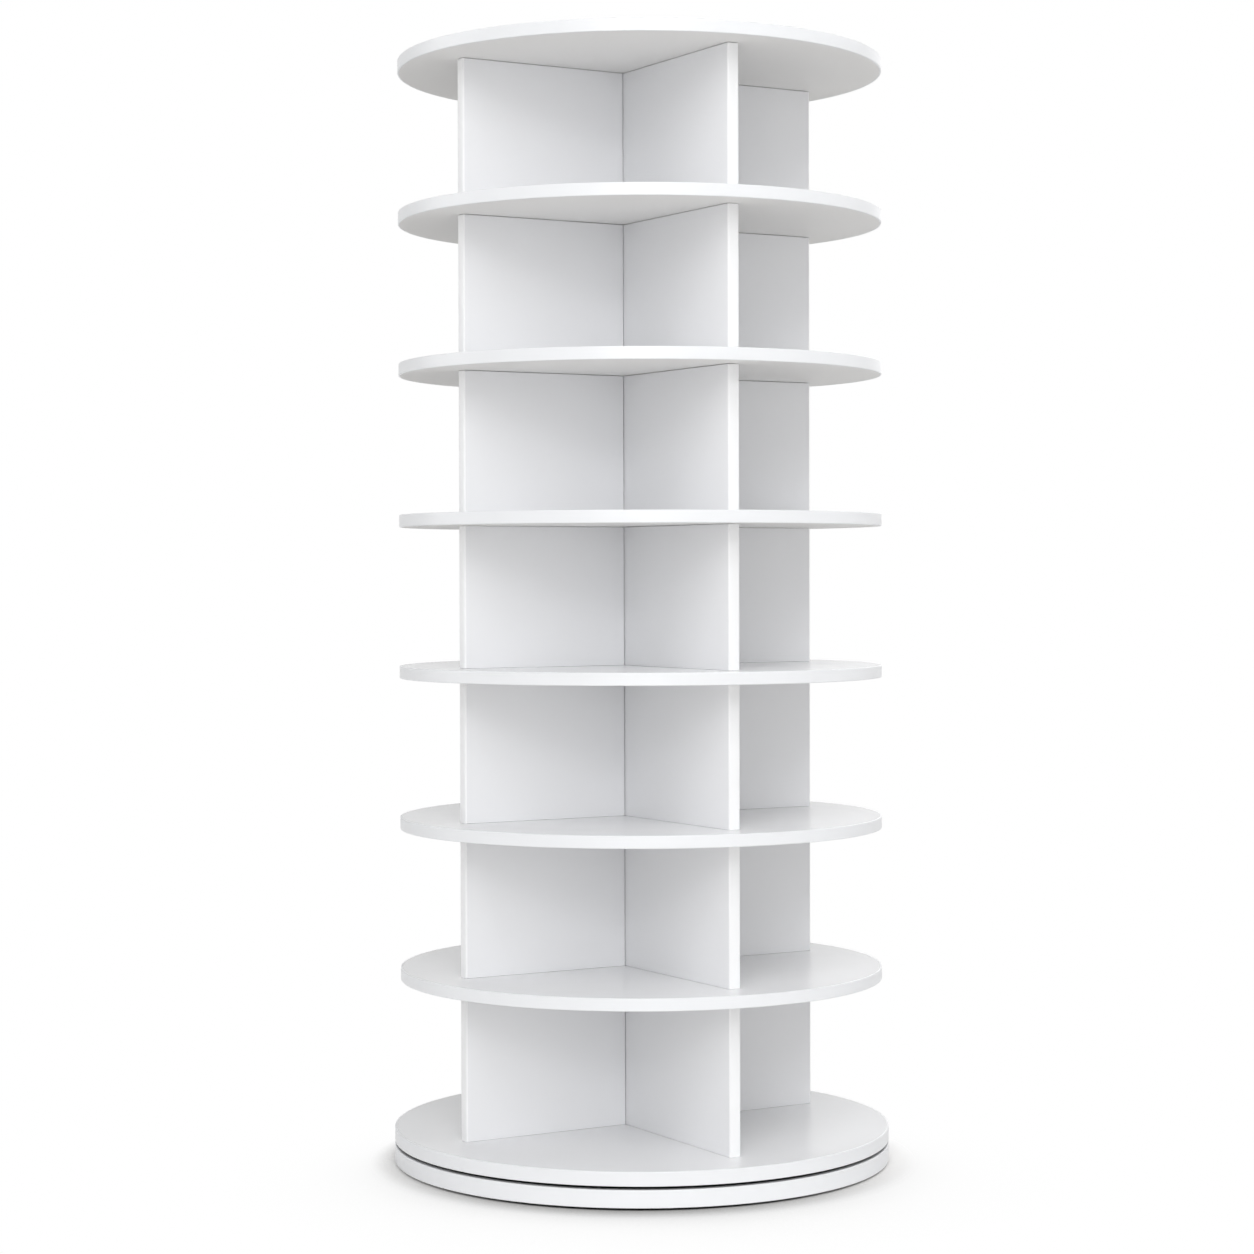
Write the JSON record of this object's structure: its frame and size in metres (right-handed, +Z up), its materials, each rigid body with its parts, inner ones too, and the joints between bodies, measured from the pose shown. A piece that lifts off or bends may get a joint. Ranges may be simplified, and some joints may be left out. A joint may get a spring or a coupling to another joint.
{
  "type": "rotating shoe tower",
  "caption": "Tall round shoe tower: white discs stacked on crossed dividers that split each tier into wedge-shaped compartments, turning on a flat ball bearing over a fixed base disc.",
  "frame": {"origin": "on the floor, on the axis that the tower turns about", "axes": "+Z up along the turning axis; +X along the long dividers; +Y towards the rear half dividers"},
  "size_m": [0.6159, 0.616, 1.3645],
  "materials": {
    "white_board": "white melamine, satin",
    "foot_pad": "matt",
    "bearing_ring": "turned",
    "screw_steel": "zinc plated",
    "retainer_plastic": "moulded",
    "ball_steel": "polished"
  },
  "bodies": {
    "base": {"base_disc": "white_board", "foot_pads": "foot_pad", "bearing_outer_ring": "bearing_ring", "outer_ring_screws": "screw_steel"},
    "ball_cage": {"ball_retainer": "retainer_plastic", "bearing_balls": "ball_steel"},
    "tower": {"bearing_inner_ring": "bearing_ring", "inner_ring_screws": "screw_steel", "bottom_disc": "white_board", "shelf_1": "white_board", "shelf_2": "white_board", "shelf_3": "white_board", "shelf_4": "white_board", "shelf_5": "white_board", "shelf_6": "white_board", "top_disc": "white_board", "long_divider_1": "white_board", "front_divider_1": "white_board", "rear_divider_1": "white_board", "long_divider_2": "white_board", "front_divider_2": "white_board", "rear_divider_2": "white_board", "long_divider_3": "white_board", "front_divider_3": "white_board", "rear_divider_3": "white_board", "long_divider_4": "white_board", "front_divider_4": "white_board", "rear_divider_4": "white_board", "long_divider_5": "white_board", "front_divider_5": "white_board", "rear_divider_5": "white_board", "long_divider_6": "white_board", "front_divider_6": "white_board", "rear_divider_6": "white_board", "long_divider_7": "white_board", "front_divider_7": "white_board", "rear_divider_7": "white_board", "divider_screws": "screw_steel"}
  },
  "joints": [
    {"name": "tower_turn", "type": "hinge", "parent": "base", "child": "tower", "pos_m": [0, 0, 0.0235], "axis": [0, 0, 1], "continuous": true},
    {"name": "cage_turn", "type": "hinge", "parent": "base", "child": "ball_cage", "pos_m": [0, 0, 0.0235], "axis": [0, 0, 1], "continuous": true}
  ],
  "couplings": [
    {"joint": "cage_turn", "follows": "tower_turn", "ratio": 0.4934}
  ]
}
